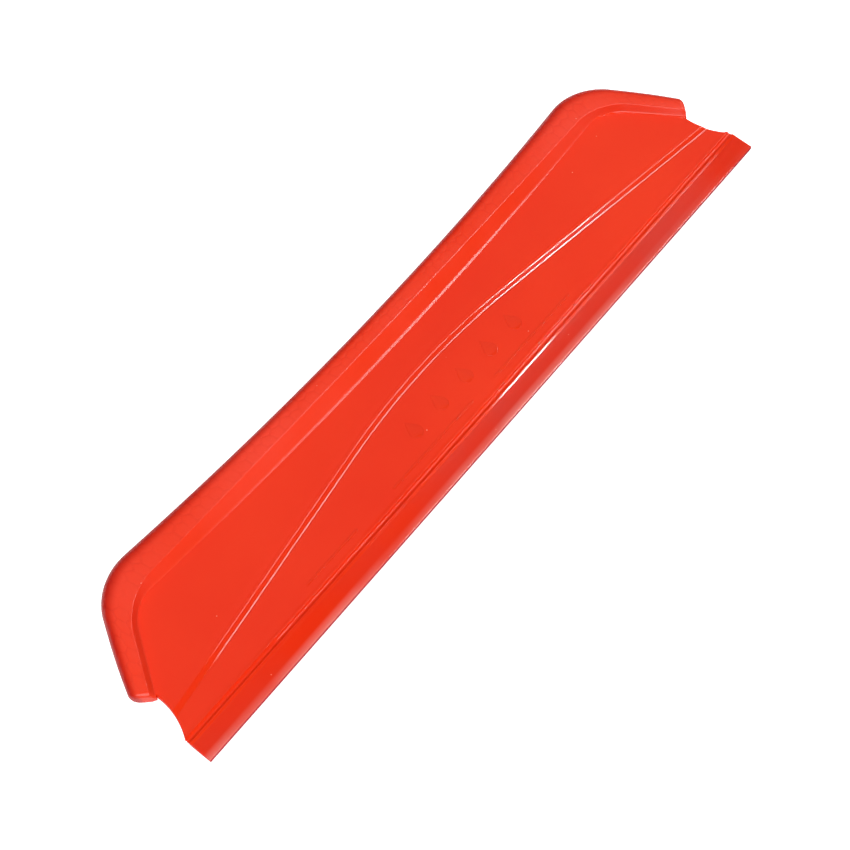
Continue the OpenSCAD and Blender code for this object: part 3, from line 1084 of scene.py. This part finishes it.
class WATER_BLADE_OT_studio(bpy.types.Operator):
    """Adds the floor, the lights and the camera"""

    bl_idname = "water_blade.studio"
    bl_label = "Studio"

    def execute(self, context):
        scene = context.scene
        setup, looks = scene.water_blade_studio, scene.water_blade_colours

        floor_mesh = bpy.data.meshes.new("studio_floor")
        bm = bmesh.new()
        bmesh.ops.create_grid(bm, x_segments=1, y_segments=1, size=FLOOR_HALF)
        bm.to_mesh(floor_mesh)
        bm.free()
        floor = bpy.data.objects.new("studio_floor", floor_mesh)
        paint = bpy.data.materials.new("studio_floor")
        paint.use_nodes = True
        shader = paint.node_tree.nodes["Principled BSDF"]
        shader.inputs["Base Color"].default_value = (*looks.floor, 1)
        shader.inputs["Roughness"].default_value = 1.0
        shader.inputs["Specular IOR Level"].default_value = 0.0
        shader.inputs["Emission Color"].default_value = (1, 1, 1, 1)
        seen = add_node(paint.node_tree, "ShaderNodeLightPath").outputs["Is Camera Ray"]
        glow = calc(paint.node_tree, "MULTIPLY", seen, FLOOR_GLOW)
        paint.node_tree.links.new(glow, shader.inputs["Emission Strength"])
        floor_mesh.materials.append(paint)
        scene.collection.objects.link(floor)

        world = bpy.data.worlds.new("studio")
        world.use_nodes = True
        surroundings = world.node_tree.nodes["Background"].inputs
        surroundings["Color"].default_value = (1, 1, 1, 1)
        surroundings["Strength"].default_value = setup.fill
        scene.world = world

        for name, (towards, distance, width, height) in LIGHTS.items():
            soft_light(scene, f"{name}_light", towards, distance, width, height, getattr(setup, name))

        lens = bpy.data.cameras.new("studio_camera")
        lens.lens = setup.lens
        lens.sensor_width = SENSOR_WIDTH
        lens.clip_start, lens.clip_end = 0.01, 20
        camera = bpy.data.objects.new("studio_camera", lens)
        back = direction_to(setup.azimuth, setup.elevation)
        camera.location = Vector(setup.aim) + back * setup.distance
        camera.rotation_mode = "QUATERNION"
        level = (-back).to_track_quat("-Z", "Y")
        camera.rotation_quaternion = level @ Quaternion((0, 0, 1), -setup.roll)
        scene.collection.objects.link(camera)
        scene.camera = camera
        scene.view_settings.view_transform = "Standard"
        return {"FINISHED"}


# ---------------------------------------------------------------- panel and registration

GROUPS = {
    "water_blade_blade": BladeSizes,
    "water_blade_web": WebSizes,
    "water_blade_rim": RimSizes,
    "water_blade_marks": MarkSizes,
    "water_blade_colours": FinishColours,
    "water_blade_studio": StudioSetup,
}
OPERATORS = (
    WATER_BLADE_OT_grip_rim,
    WATER_BLADE_OT_web,
    WATER_BLADE_OT_neck,
    WATER_BLADE_OT_root_bead,
    WATER_BLADE_OT_lips,
    WATER_BLADE_OT_marks,
    WATER_BLADE_OT_studio,
)


class WATER_BLADE_PT_panel(bpy.types.Panel):
    """Lists the pieces of the water blade and their sizes"""

    bl_idname = "WATER_BLADE_PT_panel"
    bl_label = "Water blade"
    bl_space_type = "VIEW_3D"
    bl_region_type = "UI"
    bl_category = "Water Blade"

    def draw(self, context):
        layout = self.layout
        for operator in OPERATORS:
            layout.operator(operator.bl_idname)
        for name, group in GROUPS.items():
            box = layout.box()
            box.label(text=group.__doc__)
            for prop in group.__annotations__:
                box.prop(getattr(context.scene, name), prop)


def register():
    """Registers the classes and hangs the settings on the scene."""
    for cls in (*GROUPS.values(), *OPERATORS, WATER_BLADE_PT_panel):
        bpy.utils.register_class(cls)
    for name, group in GROUPS.items():
        setattr(bpy.types.Scene, name, PointerProperty(type=group))


def unregister():
    """Takes the settings and the classes away again."""
    for name in GROUPS:
        delattr(bpy.types.Scene, name)
    for cls in reversed((*GROUPS.values(), *OPERATORS, WATER_BLADE_PT_panel)):
        bpy.utils.unregister_class(cls)


def main():
    """Builds every piece and the studio."""
    register()
    for name in ("grip_rim", "web", "neck", "root_bead", "lips", "marks", "studio"):
        getattr(bpy.ops.water_blade, name)()


if __name__ == "__main__":
    main()
